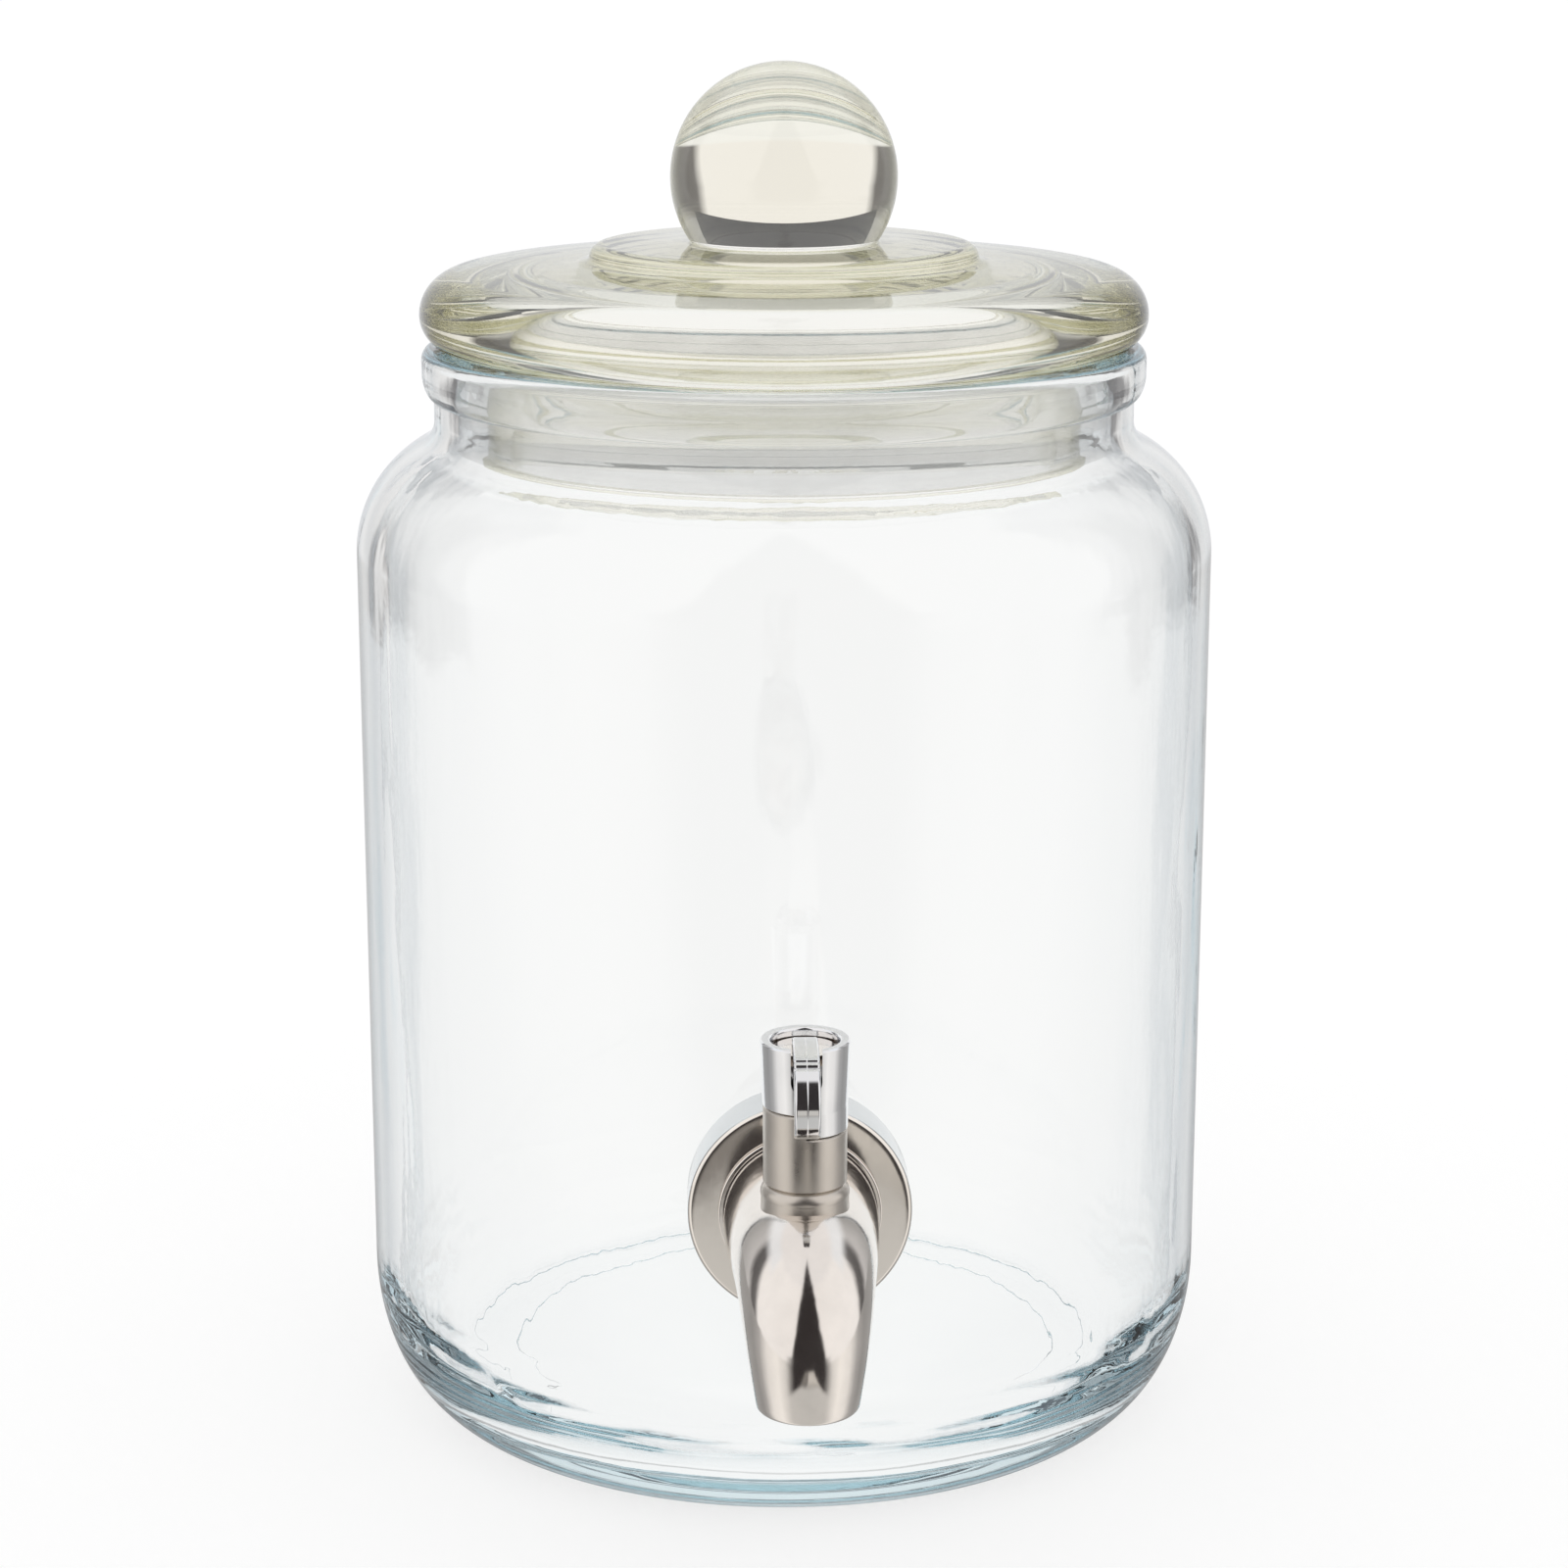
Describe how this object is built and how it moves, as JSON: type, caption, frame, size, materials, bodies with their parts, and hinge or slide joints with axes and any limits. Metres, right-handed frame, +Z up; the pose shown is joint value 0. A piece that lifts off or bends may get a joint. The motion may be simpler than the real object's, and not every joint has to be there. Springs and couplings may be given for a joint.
{
  "type": "detergent dispenser bottle",
  "caption": "Clear glass detergent dispenser jar with a lift-off ball-knob lid and its seal, and a steel quarter-turn spigot with a capped lever low on the front.",
  "frame": {"origin": "centre of the jar's standing ring, on the surface it stands on", "axes": "+Z up along the jar's axis; the spigot points to -Y; +X is to the right seen from the spigot's side"},
  "size_m": [0.15, 0.2037, 0.2394],
  "materials": {
    "jar_glass": "clear, faint blue-green",
    "lid_glass": "clear, faint yellow-green",
    "seal_silicone": "translucent, satin",
    "spout_steel": "polished, slightly warm",
    "trim_chrome": "bright plated",
    "fitting_steel": "satin",
    "ring_rubber": "matte black",
    "washer_plastic": "white"
  },
  "bodies": {
    "jar": {"glass_jar": "jar_glass", "spigot_body": "spout_steel", "escutcheon": "spout_steel", "outer_seal": "seal_silicone", "inner_seal": "seal_silicone", "backing_washer": "fitting_steel", "lock_nut": "fitting_steel", "thrust_washer": "washer_plastic", "retaining_clip": "fitting_steel"},
    "handle": {"valve_rotor": "spout_steel", "rotor_ring_upper": "ring_rubber", "rotor_ring_lower": "ring_rubber", "handle_cap": "trim_chrome", "lever": "trim_chrome", "lever_pin": "fitting_steel"},
    "lid": {"glass_lid": "lid_glass", "lid_seal_ring": "seal_silicone"}
  },
  "joints": [
    {"name": "handle_turn", "type": "hinge", "parent": "jar", "child": "handle", "pos_m": [0, -0.106, 0.088], "axis": [0, 0, 1], "range_deg": [0, 90]},
    {"name": "lid_lift", "type": "slide", "parent": "jar", "child": "lid", "axis": [0, 0, 1], "range_m": [0, 0.06]}
  ]
}
